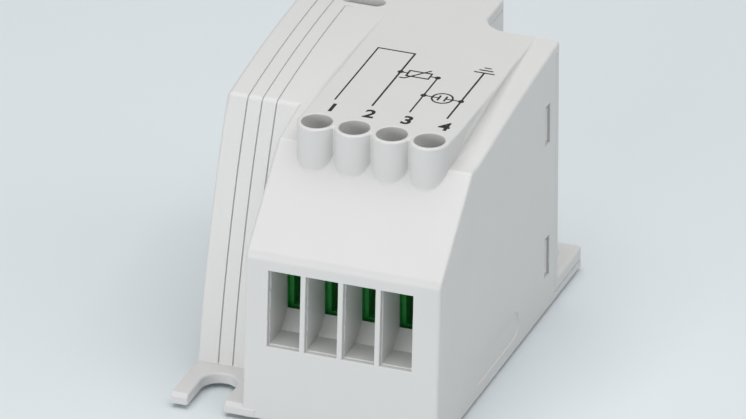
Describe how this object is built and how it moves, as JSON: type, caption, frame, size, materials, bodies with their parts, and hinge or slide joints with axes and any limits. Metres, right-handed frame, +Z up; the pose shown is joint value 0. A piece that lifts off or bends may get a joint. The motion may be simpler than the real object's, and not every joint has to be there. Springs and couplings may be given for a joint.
{
  "type": "surge protection module",
  "caption": "Compact surge protection module with a sloped nose of wire ports under screwdriver tubes, a stepped side and two feet for screw fixing.",
  "frame": {"origin": "middle of the footprint, on the mounting face", "axes": "+X to the right seen from the wire ports, +Y from the wire ports to the back, +Z up from the mounting face"},
  "size_m": [0.0362, 0.0542, 0.037],
  "materials": {
    "grey_plastic": "light grey, finely eroded moulding",
    "green_plastic": "green moulding",
    "tinned_copper": "tin plated",
    "board_laminate": "green solder mask",
    "varistor_coating": "dipped blue epoxy",
    "tube_ceramic": "unglazed white",
    "bare_copper": "rolled strip",
    "solder": "bright solder",
    "black_plastic": "moulded",
    "plated_steel": "nickel plated"
  },
  "bodies": {
    "base": {"housing": "grey_plastic", "rear_cover": "grey_plastic", "terminal_block": "green_plastic", "contact_bars": "tinned_copper", "circuit_board": "board_laminate", "varistor_1": "varistor_coating", "varistor_2": "varistor_coating", "varistor_leads": "tinned_copper", "gas_tube": "tube_ceramic", "gas_tube_electrodes": "tinned_copper", "varistor_tab": "bare_copper", "solder_bead": "solder", "disconnector_holder": "black_plastic", "disconnector_pin": "plated_steel", "disconnector_spring": "plated_steel", "solder_joints": "solder"},
    "disconnector": {"disconnector_arm": "bare_copper"},
    "screw_1": {"clamp_screw_1": "plated_steel"},
    "cage_1": {"clamp_cage_1": "plated_steel"},
    "screw_2": {"clamp_screw_2": "plated_steel"},
    "cage_2": {"clamp_cage_2": "plated_steel"},
    "screw_3": {"clamp_screw_3": "plated_steel"},
    "cage_3": {"clamp_cage_3": "plated_steel"},
    "screw_4": {"clamp_screw_4": "plated_steel"},
    "cage_4": {"clamp_cage_4": "plated_steel"}
  },
  "joints": [
    {"name": "disconnector_swing", "type": "hinge", "parent": "base", "child": "disconnector", "pos_m": [-0.0106, 0.006, 0.0122], "axis": [-1, 0, 0], "range_deg": [0, 30]},
    {"name": "cage_1_rise", "type": "slide", "parent": "base", "child": "cage_1", "axis": [0, 0, 1], "range_m": [0, 0.003]},
    {"name": "screw_1_turn", "type": "hinge", "parent": "base", "child": "screw_1", "pos_m": [-0.00303, -0.01406, 0.023], "axis": [0, 0, -1], "range_deg": [0, 2161]},
    {"name": "cage_2_rise", "type": "slide", "parent": "base", "child": "cage_2", "axis": [0, 0, 1], "range_m": [0, 0.003]},
    {"name": "screw_2_turn", "type": "hinge", "parent": "base", "child": "screw_2", "pos_m": [0.00205, -0.01406, 0.023], "axis": [0, 0, -1], "range_deg": [0, 2161]},
    {"name": "cage_3_rise", "type": "slide", "parent": "base", "child": "cage_3", "axis": [0, 0, 1], "range_m": [0, 0.003]},
    {"name": "screw_3_turn", "type": "hinge", "parent": "base", "child": "screw_3", "pos_m": [0.00713, -0.01406, 0.023], "axis": [0, 0, -1], "range_deg": [0, 2161]},
    {"name": "cage_4_rise", "type": "slide", "parent": "base", "child": "cage_4", "axis": [0, 0, 1], "range_m": [0, 0.003]},
    {"name": "screw_4_turn", "type": "hinge", "parent": "base", "child": "screw_4", "pos_m": [0.01221, -0.01406, 0.023], "axis": [0, 0, -1], "range_deg": [0, 2161]}
  ],
  "couplings": [
    {"joint": "screw_1_turn", "follows": "cage_1_rise", "rad_per_m": 12566},
    {"joint": "screw_2_turn", "follows": "cage_2_rise", "rad_per_m": 12566},
    {"joint": "screw_3_turn", "follows": "cage_3_rise", "rad_per_m": 12566},
    {"joint": "screw_4_turn", "follows": "cage_4_rise", "rad_per_m": 12566}
  ]
}
